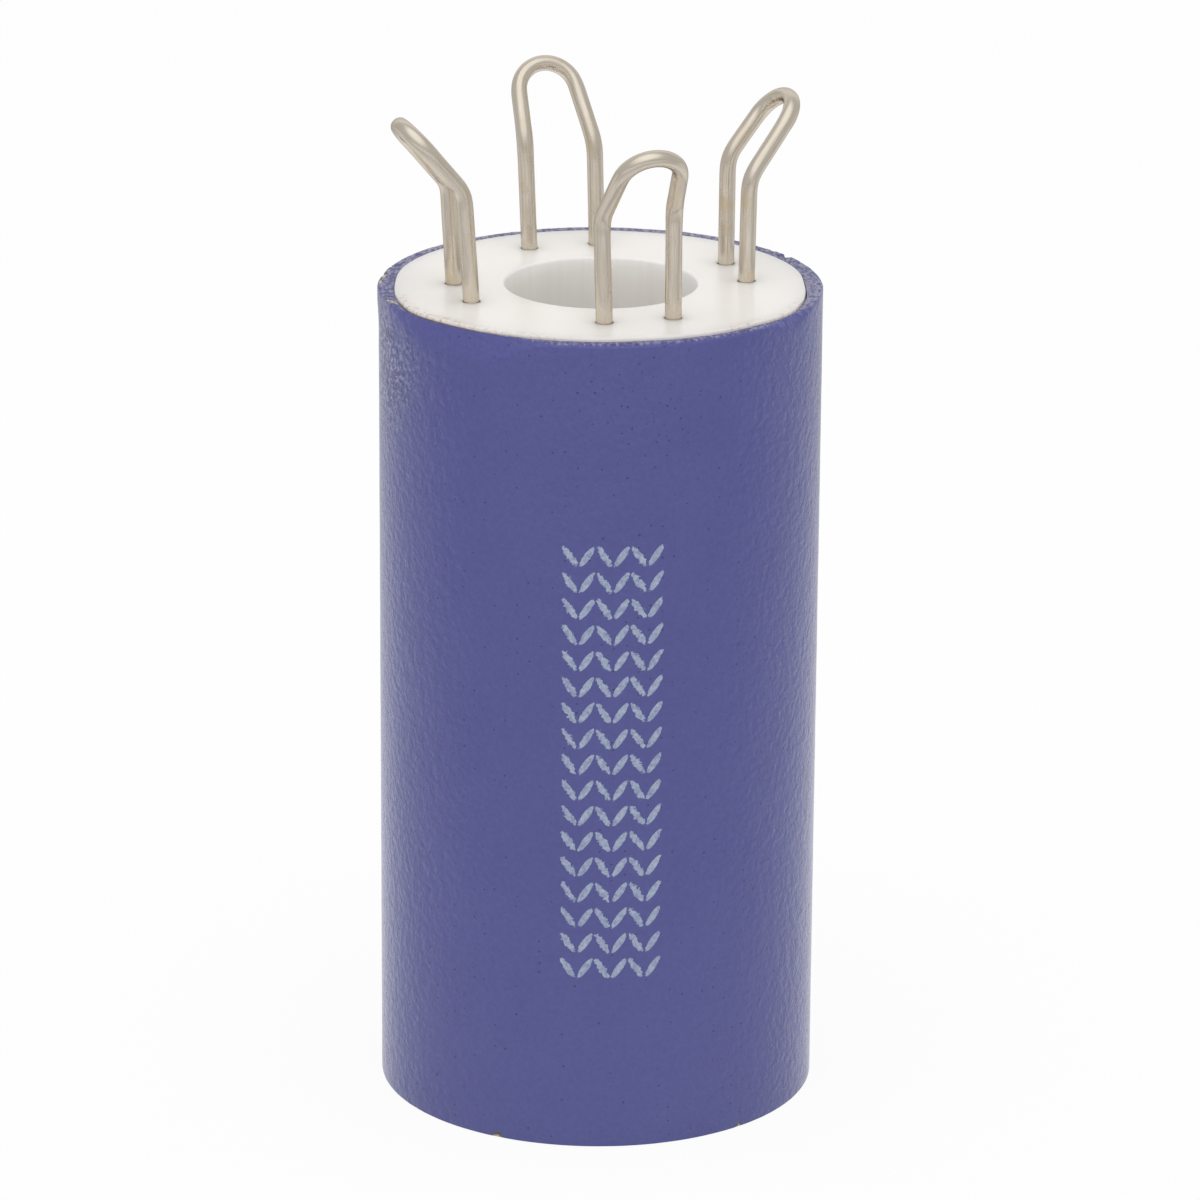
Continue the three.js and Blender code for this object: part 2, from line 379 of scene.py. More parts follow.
# The print, with unsteady edges. Each column is folded on its middle, so that one leaf serves
# for both sides of a stitch.
def stitchMask(add, place, aside, height, forwards):
    width, pitch = stitches["width"], stitches["pitch"]
    stray = add("TexNoise", {"Vector": place, "Scale": 3.4, "Detail": 2.0, "Roughness": 0.6})
    rough = stitches["rough"]
    astray = add("MapRange", {0: stray, 1: 0.25, 2: 0.75, 3: -rough, 4: rough})
    across = add("Math", {0: aside, 1: astray}, operation="ADD")
    columnEdge = (stitches["columns"] % 2) * 0.5
    column = add("Math", {0: across, 1: 1 / width, 2: columnEdge}, operation="MULTIPLY_ADD")
    inColumn = add("Math", {0: column}, operation="FRACT")
    fromMiddle = add("Math", {0: inColumn, 1: 0.5}, operation="SUBTRACT")
    half = add("Math", {0: fromMiddle}, operation="ABSOLUTE")
    out = add("Math", {0: half, 1: width}, operation="MULTIPLY")
    climb = add("Math", {0: out, 1: -stitches["slope"], 2: height}, operation="MULTIPLY_ADD")
    above = add("Math", {0: climb, 1: stitches["low"]}, operation="SUBTRACT")
    climbed = add("Math", {0: above, 1: astray}, operation="ADD")
    row = add("Math", {0: climbed, 1: pitch}, operation="FLOORED_MODULO")
    offRow = add("Math", {0: row, 1: pitch / 2}, operation="SUBTRACT")
    offLeaf = add("Math", {0: offRow}, operation="ABSOLUTE")

    # A leaf is widest halfway out and closes at both ends.
    leafShare = add("Math", {0: half, 1: 0.25}, operation="SUBTRACT")
    leafSquare = add("Math", {0: leafShare, 1: leafShare}, operation="MULTIPLY")
    closing = -1 / stitches["leafReach"] ** 2
    leafLeft = add("Math", {0: leafSquare, 1: closing, 2: 1.0}, operation="MULTIPLY_ADD")
    leafOpen = add("Math", {0: leafLeft, 1: 0.0}, operation="MAXIMUM")
    leafWidth = add("Math", {0: leafOpen, 1: 0.5}, operation="POWER")
    reach = add("Math", {0: leafWidth, 1: stitches["leaf"]}, operation="MULTIPLY")
    inside = add("Math", {0: reach, 1: offLeaf}, operation="SUBTRACT")
    leaf = add("MapRange", {0: inside, 1: -0.03, 2: 0.06})

    aboutMiddle = add("Math", {0: across}, operation="ABSOLUTE")
    halfWidth, halfHeight = stitches["columns"] * width / 2, stitches["rows"] * pitch / 2
    inStrip = add("Math", {0: aboutMiddle, 1: halfWidth}, operation="LESS_THAN")
    inRows = add("Math", {0: climbed, 1: halfHeight, 2: halfHeight}, operation="COMPARE")
    onFront = add("Math", {0: forwards, 1: 0.0}, operation="GREATER_THAN")
    strip = add("Math", {0: inStrip, 1: inRows}, operation="MULTIPLY")
    frontStrip = add("Math", {0: strip, 1: onFront}, operation="MULTIPLY")
    return add("Math", {0: leaf, 1: frontStrip}, operation="MULTIPLY")


# Blue lacquer sprayed on a wound kraft paper tube. It dries satin with an orange peel, and the
# paper's pores draw it in as pinholes, so the sides shimmer and the front looks plain.
def lacquerOnKraft():
    material, add = newMaterial("sprayed_lacquer_on_kraft_tube")
    place = millimetres(add)

    # The skin's own coordinates in mm: round the tube from the print's middle, and up the wall and
    # on across the rim.
    printAngle = math.radians(stitches["turn"] + photo["azimuth"])
    turned = add("VectorRotate", {"Vector": place, "Angle": -printAngle}, rotation_type="Z_AXIS")
    forwards, leftwards, height = add("SeparateXYZ", {0: turned}).outputs
    angle = add("Math", {0: leftwards, 1: forwards}, operation="ARCTAN2")
    aside = add("Math", {0: angle, 1: sleeveRadius}, operation="MULTIPLY")
    flatPlace = add("VectorMath", {0: place, 1: (1.0, 1.0, 0.0)}, operation="MULTIPLY")
    fromAxis = add("VectorMath", {0: flatPlace}, operation="LENGTH")
    upSkin = add("Math", {0: height, 1: fromAxis}, operation="SUBTRACT")
    skin = add("CombineXYZ", {0: aside, 1: upSkin})
    facing = add("SeparateXYZ", {0: add("NewGeometry").outputs["True Normal"]})
    onRim = add("MapRange", {0: facing.outputs["Z"], 1: 0.75, 2: 0.95})

    # Colour: even, with a drift 6 mm across and a mottle 0.4 mm across, of a few percent.
    drift = add("TexNoise", {"Vector": place, "Scale": 0.16, "Detail": 3.0})
    blue = add("Mix", {0: drift, "A": lacquer["blue"], "B": lacquer["lightBlue"]}, data_type="RGBA")
    fine = add("TexNoise", {"Vector": place, "Scale": 2.4, "Detail": 3.0, "Roughness": 0.65})
    mottle = add("MapRange", {0: fine, 1: 0.3, 2: 0.7, 3: 0.93, 4: 1.07})
    mottled = add("Mix", {0: 1.0, "A": blue, "B": mottle}, data_type="RGBA", blend_type="MULTIPLY")
    holes = pinholeMask(add, place, skin, onRim)
    # The pinholes are painted dark, as shade of the pits.
    holeShare = add("Math", {0: holes, 1: 0.75}, operation="MULTIPLY")
    pricked = add("Mix", {0: holeShare, "A": mottled, "B": pinholes["colour"]}, data_type="RGBA")

    # The cut rim, most of all at its back, and the top of the wall at the left are worn in flecks.
    # On the rim rubbed ones show greyish paper fibres, and between them the lacquer has sunk in
    # dark. On the wall the light flecks are painted glints of the crinkled grain, and the dark ones
    # painted shade.
    wornHeart = atTurn(lacquer["wornTurn"], sleeveRadius, lacquer["wornHeight"])
    fromWorn = add("VectorMath", {0: place, 1: wornHeart}, operation="DISTANCE")
    wornEdge = add("Math", {0: drift, 1: 10.0, 2: fromWorn}, operation="MULTIPLY_ADD")
    wornWall = add("MapRange", {0: wornEdge, 1: 12.5, 2: 8.0, 4: 0.9})
    worn = add("Math", {0: onRim, 1: wornWall}, operation="MAXIMUM")
    backwards = add("VectorMath", {0: place, 1: atTurn(90, 1)}, operation="DOT_PRODUCT")
    atBack = add("MapRange", {0: backwards, 1: -16.0, 2: 16.0, 3: -0.02, 4: 0.03})
    rightHeart = atTurn(350, 19.6, sleeveTop)
    fromRight = add("VectorMath", {0: place, 1: rightHeart}, operation="DISTANCE")
    atRight = add("MapRange", {0: fromRight, 1: 9.0, 2: 4.0, 4: 0.06})
    bias = add("Math", {0: atBack, 1: atRight}, operation="ADD")

    # The flecks are 0.3 mm wide and up to twice as long, along the cut and up the wall.
    along = add("VectorMath", {0: turned, 1: (0.45, 1.0, 0.7)}, operation="MULTIPLY")
    grain = add("TexNoise", {"Vector": along, "Scale": 3.4, "Detail": 3.0, "Roughness": 0.65})
    rubbed = add("Math", {0: grain, 1: bias}, operation="ADD")
    fleck = add("MapRange", {0: rubbed, 1: 0.51, 2: 0.59, 4: 0.8})
    flecks = add("Math", {0: fleck, 1: worn}, operation="MULTIPLY")
    paperShows = add("MapRange", {0: backwards, 1: 2.0, 2: 13.0})
    side, back, wall = lacquer["sideFibre"], lacquer["backFibre"], lacquer["wallGlint"]
    rimFibre = add("Mix", {0: paperShows, "A": side, "B": back}, data_type="RGBA")
    fibreAndGlint = add("Mix", {0: wornWall, "A": rimFibre, "B": wall}, data_type="RGBA")
    flecked = add("Mix", {0: flecks, "A": pricked, "B": fibreAndGlint}, data_type="RGBA")
    sinkAndShade = add("MapRange", {0: grain, 1: 0.47, 2: 0.41, 4: 0.9})
    sunkAndShaded = add("Math", {0: sinkAndShade, 1: worn}, operation="MULTIPLY")
    speckled = add("Mix", {0: sunkAndShaded, "A": flecked, "B": lacquer["sunkBlueAndShade"]}, data_type="RGBA")

    # The ink covers thinly, in blotches 0.4 mm across.
    printed = stitchMask(add, place, aside, height, forwards)
    blotch = add("TexNoise", {"Vector": place, "Scale": 2.6, "Detail": 4.0, "Roughness": 0.8})
    cover = add("MapRange", {0: blotch, 1: 0.36, 2: 0.6})
    ink = add("Mix", {0: cover, "A": stitches["thinInk"], "B": stitches["ink"]}, data_type="RGBA")
    withInk = add("Mix", {0: printed, "A": speckled, "B": ink}, data_type="RGBA")

    # Kraft paper where the paint is off, with an edge ragged by 0.3 mm, and pulp of 0.2 mm.
    bare = add("Attribute", attribute_name="mark").outputs["Fac"]
    ragged = add("TexNoise", {"Vector": place, "Scale": 3.5, "Detail": 3.0})
    torn = add("Math", {0: ragged, 1: bare}, operation="ADD")
    offPaint = add("MapRange", {0: torn, 1: 0.98, 2: 1.06})
    pulp = add("TexNoise", {"Vector": place, "Scale": 5.0, "Detail": 4.0})
    depth = add("Math", {0: torn, 1: 1.3, 2: pulp}, operation="MULTIPLY_ADD")
    clean = add("MapRange", {0: depth, 1: 1.9, 2: 2.35})
    darkened = lacquer["dirtyKraft"]
    kraft = add("Mix", {0: clean, "A": darkened, "B": lacquer["kraft"]}, data_type="RGBA")
    colour = add("Mix", {0: offPaint, "A": withInk, "B": kraft}, data_type="RGBA")

    # Relief in millimetres: orange peel 0.8 mm across, the rough cut edge, the pinholes and the
    # ink's own thickness.
    peel = add("TexNoise", {"Vector": place, "Scale": 1.25, "Detail": 2.0, "Roughness": 0.6})
    peelHeight = add("MapRange", {0: height, 1: 60.0, 2: 72.0, 3: 0.14, 4: 0.19})
    waves = add("Math", {0: peel, 1: peelHeight}, operation="MULTIPLY")
    wornWaves = add("Math", {0: grain, 1: wornWall}, operation="MULTIPLY")
    allWaves = add("Math", {0: wornWaves, 1: 0.3, 2: waves}, operation="MULTIPLY_ADD")
    cutEdge = add("Math", {0: fine, 1: onRim}, operation="MULTIPLY")
    rough = add("Math", {0: cutEdge, 1: 0.12, 2: allWaves}, operation="MULTIPLY_ADD")
    pitted = add("Math", {0: holes, 1: -0.05, 2: rough}, operation="MULTIPLY_ADD")
    raised = add("Math", {0: printed, 1: 0.025, 2: pitted}, operation="MULTIPLY_ADD")
    relief = add("Bump", {"Height": raised, "Strength": 1.0, "Distance": mm})

    # The cut rim, the ink and bare paper are duller than the lacquer.
    sheen = add("MapRange", {0: onRim, 3: lacquer["roughness"], 4: lacquer["rimRoughness"]})
    inkSheen = add("Math", {0: printed, 1: 0.25, 2: sheen}, operation="MULTIPLY_ADD")
    roughness = add("Math", {0: offPaint, 1: 0.4, 2: inkSheen}, operation="MULTIPLY_ADD")
    surface = add("BsdfPrincipled", {
        "Base Color": colour, "Roughness": roughness, "Normal": relief, "IOR": lacquer["ior"],
    })
    add("OutputMaterial", {"Surface": surface})
    return material


def makeSleeve():
    piece = turnedRing("lacquered_sleeve", sleeve["segments"], sleeveSection)
    smoothFaces(piece, 50)
    piece.data.materials.append(lacquerOnKraft())
    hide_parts("sleeve")
    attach(piece, "root")
    print("sleeve made:", len(piece.data.polygons), "faces")


# Hooks

wire = {
    "diameter": 1.5,
    "sides": 28,
    "step": 0.3,
    "legSpacing": 6.35,
    "ringRadius": 13.5,      # of the eight legs' circle
    "footDepth": 11.9,       # how deep a leg stands in the core
    "bendHeight": 9.79,
    "bendStep": 0.55,        # how much higher one leg of a hook bends than the other
    "reach": 7.8,
    "tipRadius": 2.8,
    "easings": 3,            # rounds of smoothing that run the bends into the straights
    "press": 0.05,           # how far the bends are pressed flat, as a share of the wire
    "uneven": 0.012,
    "lightTone": "#E2D9CB",
    "darkTone": "#D6CBBB",
    "golden": "#D6C29D",
    "tarnish": "#7C7060",
    "edgeTint": "#CFCDC9",   # of reflections at a glancing angle
    "lineDepth": 0.004,      # of the lines that drawing left
}

# How each hook was bent, in degrees: its heading, its kick out above the bend, the skew of its tip,
# and the lean, drift and spread of its legs. The reach is a share of the usual reach, and the ease
# is how many millimetres each side of the bend the wire curves. The feet and the bends of its two
# legs are off their usual places by some millimetres, outwards and aside.
hooks = {
    "hook_front": {
        "heading": -91.1, "kick": 35.6, "reach": 0.96, "skew": 4.6,
        "lean": -0.6, "drift": -0.9, "spread": 1.8, "ease": 1.2,
        "feet": [(-0.08, 0), (-0.08, 0)], "bends": [(0, 0), (0, 0)],
    },
    "hook_right": {
        "heading": 1.7, "kick": 39.7, "reach": 1.01, "skew": 8.6,
        "lean": 0.6, "drift": 1.8, "spread": -0.6, "ease": 1.2,
        "feet": [(-0.24, 0), (-0.03, 0)], "bends": [(-0.06, 0), (0, 0)],
    },
    "hook_back": {
        "heading": 89.3, "kick": 32, "reach": 0.99, "skew": 5.9,
        "lean": 5.8, "drift": 0.6, "spread": 1.8, "ease": 1.2,
        "feet": [(0.17, -0.09), (0.2, 0.03)], "bends": [(0, 0), (0, 0)],
    },
    "hook_left": {
        "heading": 181, "kick": 40.3, "reach": 1.03, "skew": 6.4,
        "lean": 2.6, "drift": -0.6, "spread": -2.9, "ease": 0.9,
        "feet": [(-0.2, -0.2), (-0.05, -0.25)], "bends": [(0, 0), (0.14, -0.04)],
    },
}

legRadius = math.sqrt(wire["ringRadius"] ** 2 - (wire["legSpacing"] / 2) ** 2)


def sideways(length, degrees):
    return length * math.tan(math.radians(degrees))


def evenSteps(start, end):
    count = max(1, round((end - start).length / wire["step"]))
    return [start.lerp(end, i / count) for i in range(count)]


# A straight run from one point towards a corner, then the eased bend at the corner.
def runAndBend(start, corner, end, ease):
    before = corner + (start - corner).normalized() * ease
    after = corner + (end - corner).normalized() * ease
    count = round(2 * ease / wire["step"])
    bend = []
    for i in range(count):
        t = i / count
        bend.append(before.lerp(corner, t).lerp(corner.lerp(after, t), t))
    return evenSteps(start, before) + bend, after


# Where the two legs of a hook that leans out along +X go into the core.
def footPlaces(hook):
    half = wire["legSpacing"] / 2
    feet = zip((-1, 1), hook["feet"])
    return [Vector((legRadius + out, side * half + aside, 0)) for side, (out, aside) in feet]


# The wire's middle line for a hook that leans out along +X, foot to foot.
def hookRoute(hook):
    feet, mouths, bends = [], [], []
    for side, mouth, bend in zip((-1, 1), footPlaces(hook), hook["bends"]):
        y = side * wire["legSpacing"] / 2
        feet.append(mouth + Vector((0, 0, coreTop - wire["footDepth"])))
        mouths.append(mouth + Vector((0, 0, coreTop)))
        bends.append(Vector((
            legRadius + sideways(wire["bendHeight"], hook["lean"]) + bend[0],
            y + sideways(wire["bendHeight"], hook["drift"] + side * hook["spread"] / 2) + bend[1],
            coreTop + wire["bendHeight"] + side * wire["bendStep"] / 2,
        )))
    across = bends[1] - bends[0]
    halfSpan = across.length / 2
    across.normalize()
    kick = math.radians(hook["kick"])
    along = Vector((math.sin(kick), 0, math.cos(kick)))
    along = (along - across * along.dot(across)).normalized()
    reach = wire["reach"] * hook["reach"]
    tipRadius = wire["tipRadius"]
    rise = reach - tipRadius
    tipShift = sideways(reach, hook["skew"])
    centre = (bends[0] + bends[1]) / 2 + across * tipShift + along * rise

    # The angles at which the two limbs touch the tip's circle.
    touches = []
    for side in (-1, 1):
        x = side * halfSpan - tipShift
        touches.append(math.atan2(-rise, x) + side * math.acos(tipRadius / math.hypot(x, rise)))
    first, last = touches[0] + 2 * math.pi, touches[1]
    count = round((first - last) * tipRadius / wire["step"])
    tip = []
    for i in range(count + 1):
        angle = first + (last - first) * i / count
        tip.append(centre + tipRadius * (across * math.cos(angle) + along * math.sin(angle)))

    left, leftEnd = runAndBend(mouths[0], bends[0], tip[0], hook["ease"])
    right, rightEnd = runAndBend(mouths[1], bends[1], tip[-1], hook["ease"])
    route = evenSteps(feet[0], mouths[0]) + left + evenSteps(leftEnd, tip[0]) + tip
    back = evenSteps(feet[1], mouths[1]) + right + evenSteps(rightEnd, tip[-1])
    route += back[::-1]
    for _ in range(wire["easings"]):
        eased = [(a + 2 * b + c) / 4 for a, b, c in zip(route, route[1:], route[2:])]
        route = route[:1] + eased + route[-1:]
    return route


def makeHook(name, hook, material):
    route = hookRoute(hook)
    turn = Matrix.Rotation(math.radians(hook["heading"]), 3, "Z")
    radius = wire["diameter"] / 2
    seed = Vector((hook["heading"], 0, 0))
    sides = wire["sides"]
    verts, unbent = [], []
    outward = Vector((1, 0, 0))
    run = 0.0
    for i, place in enumerate(route):
        ahead = route[min(i + 1, len(route) - 1)]
        behind = route[max(i - 1, 0)]
        heading = (ahead - behind).normalized()
        outward = (outward - heading * outward.dot(heading)).normalized()
        aside = heading.cross(outward)
        bend = ahead - 2 * place + behind
        inward = bend.normalized() if bend.length > 1e-6 else outward
        tight = 0.0          # 1 where it bends as tightly as at the tip
        if 0 < i < len(route) - 1:
            tight = min(bend.length / wire["step"] ** 2 * wire["tipRadius"], 1.0)
        run += (place - behind).length
        for j in range(sides):
            angle = 2 * math.pi * j / sides
            spoke = outward * math.cos(angle) + aside * math.sin(angle)
            straight = Vector((radius * math.cos(angle), radius * math.sin(angle), run))
            flat = 1 - wire["press"] * tight * (2 * spoke.dot(inward) ** 2 - 1)
            wavePlace = seed + Vector((straight.x, straight.y, run * 0.35)) * 1.3
            worn = 1 + wire["uneven"] * noise.noise(wavePlace)
            verts.append(turn @ (place + spoke * radius * flat * worn))
            unbent.extend(straight + seed)
    faces = []
    for start in range(0, (len(route) - 1) * sides, sides):
        for j in range(sides):
            k = (j + 1) % sides
            faces.append((start + j, start + k, start + sides + k, start + sides + j))
    faces.append(tuple(reversed(range(sides))))
    faces.append(tuple(range((len(route) - 1) * sides, len(route) * sides)))
    piece = newObject(name + "_wire", verts, faces)
    straightened = piece.data.attributes.new("unbent", "FLOAT_VECTOR", "POINT")
    straightened.data.foreach_set("vector", unbent)
    smoothFaces(piece, 60)
    piece.data.materials.append(material)
    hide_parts(name)
    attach(piece, "root")


# Nickel-plated steel wire, drawn and then bent over a peg. The plate is warm and fairly bright,
# and drawing leaves fine lines along it that break the reflections up.
def drawnNickelWire():
    material, add = newMaterial("drawn_nickel_plated_wire")
    unbent = add("Attribute", attribute_name="unbent").outputs["Vector"]
    long = add("VectorMath", {0: unbent, 1: (1.0, 1.0, 0.06)}, operation="MULTIPLY")
    # Real drawing lines are 0.03 mm apart. These are 0.14 mm apart, so that they show.
    streaks = add("TexNoise", {"Vector": long, "Scale": 7.0, "Detail": 2.0, "Roughness": 0.6})
    # Stains 2 mm across and specks of tarnish of 0.6 mm.
    clouds = add("TexNoise", {"Vector": unbent, "Scale": 0.45, "Detail": 3.0})
    tone = add("MapRange", {0: streaks, 1: 0.3, 2: 0.7})
    metal = add("Mix", {0: tone, "A": wire["darkTone"], "B": wire["lightTone"]}, data_type="RGBA")
    golden = add("MapRange", {0: clouds, 1: 0.56, 2: 0.72, 4: 0.5})
    stained = add("Mix", {0: golden, "A": metal, "B": wire["golden"]}, data_type="RGBA")
    specks = add("TexNoise", {"Vector": unbent, "Scale": 1.7, "Detail": 4.0, "Roughness": 0.75})
    tarnish = add("MapRange", {0: specks, 1: 0.68, 2: 0.78, 4: 0.5})
    colour = add("Mix", {0: tarnish, "A": stained, "B": wire["tarnish"]}, data_type="RGBA")
    roughness = add("MapRange", {0: clouds, 1: 0.35, 2: 0.65, 3: 0.22, 4: 0.29})
    lines = add("Math", {0: streaks, 1: wire["lineDepth"]}, operation="MULTIPLY")
    relief = add("Bump", {"Height": lines, "Strength": 1.0, "Distance": mm})
    surface = add("BsdfPrincipled", {
        "Base Color": colour, "Metallic": 1.0, "Roughness": roughness, "Normal": relief,
        "Specular Tint": wire["edgeTint"],
    })
    add("OutputMaterial", {"Surface": surface})
    return material


# Core

core = {
    "segments": 360,
    "rise": 0.1,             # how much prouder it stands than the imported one
    "edgeRound": 0.2,
    "footRound": 0.3,
    "boreRadius": 8.75,
    "boreRound": 0.2,
    "lipDepth": 2.5,         # how deep the top edge's own outline reaches
    "holeGap": 0.05,         # round a leg
    "holeDepth": 12.0,
    "drillSides": 48,
    "drillPoint": 118,       # degrees
    "flare": 0.03,           # how far a drilled mouth opens
    "flareDepth": 0.12,      # and from how deep
    "tornEdge": 0.1,         # how ragged a drilled mouth is
    "white": "#F0EBE5",
    "brightWhite": "#F4F0EB",
    # in the bore: clean plastic, and painted light
    "litBoreWhite": "#F5F2EE",
    "halo": "#C9B79E",       # round each leg
    # dirt in the holes, with painted shade
    "holeDirtAndShade": "#4E4032",
    "cream": "#E0D3C6",      # of dried glue, and painted shade on the rounded edge
    "glue": "#C0A493",
    "seamDark": "#6B5443",
    "roughness": 0.29,       # even: a pattern in it shows as flakes on this plastic
    "ior": 1.48,
    "glow": 4.0,             # how deep it lets light in
}
coreFace = coreTop + core["rise"]

# Where the gap to the sleeve differs: turn, the degrees from it at which the change begins and is
# full, and the change. It is wider at the right and the front left, and closes at the left.
gapChanges = [(345, 10, 4, 0.07), (224, 28, 16, 0.04), (167, 35, 25, -0.04)]

# Where glue has crept up over the core's edge, in the same way: most at the front left.
glueRuns = [(212, 24, 10, 1.0), (225, 45, 25, 0.45), (325, 30, 10, 0.6)]


def changesAt(turn, rows):
    return [most * smooth(begin, full, abs(turn - heart)) for heart, begin, full, most in rows]


def glueMark(turn, outwards, upwards):
    there = max(changesAt(turn, glueRuns))
    return there * smooth(-1.1, -0.3, outwards) * smooth(-2.0, -0.5, upwards)


def coreSection(turn):
    edge, bore, foot = core["edgeRound"], core["boreRound"], core["footRound"]
    inner, low, deepest = core["boreRadius"], coreLow.z, core["lipDepth"]
    outer = rimAt(turn)[0] - sleeve["gap"] - sum(changesAt(turn, gapChanges))
    points = arc(inner + bore, low + bore, bore, 180, 270, 4)
    points += [(inner + (coreRadius - inner) * share, low) for share in (0.35, 0.7)]
    points += arc(coreRadius - foot, low + foot, foot, -90, 0, 4)
    points += [(coreRadius, height) for height in (5, 40)]
    for depth in (deepest, 1.5, 0.8, 0.5):
        share = smooth(deepest, 0.6, depth)
        points.append((coreRadius + (outer - coreRadius) * share, coreFace - depth))
    points += arc(outer - edge, coreFace - edge, edge, 0, 90, 6)
    for share in (0.97, 0.93, 0.88, 0.7, 0.45, 0.2):
        points.append((inner + (outer - inner) * share, coreFace))
    points += arc(inner + bore, coreFace - bore, bore, 90, 180, 5)
    points += [(inner, coreFace - depth) for depth in (1, 3, 8, 16, 32, 60)]
    return [(radius, height, glueMark(turn, radius - outer, height - coreFace))
            for radius, height in points]


def legPlaces():
    places = []
    for hook in hooks.values():
        turned = Matrix.Rotation(math.radians(hook["heading"]), 3, "Z")
        places += [turned @ spot for spot in footPlaces(hook)]
    return places


# What the drill takes away for the eight legs: straight walls that open to a slightly torn mouth.
def drilledHoles():
    radius = wire["diameter"] / 2 + core["holeGap"]
    bottom = coreFace - core["holeDepth"]
    point = radius / math.tan(math.radians(core["drillPoint"] / 2))
    above, sides = core["flareDepth"], core["drillSides"]
    rings = [(0.0, bottom), (0.0, coreFace - above), (1.0, coreFace + above)]     # opening, height
    verts, faces = [], []
    for place in legPlaces():
        start = len(verts)
        verts.append(place + Vector((0, 0, bottom - point)))
        for opening, height in rings:
            for j in range(sides):
                angle = 2 * math.pi * j / sides
                spoke = Vector((math.cos(angle), math.sin(angle), 0))
                torn = core["tornEdge"] * max(0.0, noise.noise((place + spoke) * 1.7))
                opened = 2 * opening * (core["flare"] + torn)
                verts.append(place + spoke * (radius + opened) + Vector((0, 0, height)))
        for j in range(sides):
            k = (j + 1) % sides
            faces.append((start, start + 1 + k, start + 1 + j))
            for i in range(len(rings) - 1):
                low, high = start + 1 + i * sides, start + 1 + (i + 1) * sides
                faces.append((low + j, low + k, high + k, high + j))
        last = start + 1 + (len(rings) - 1) * sides
        faces.append(tuple(range(last, last + sides)))
    return newObject("drill", verts, faces)
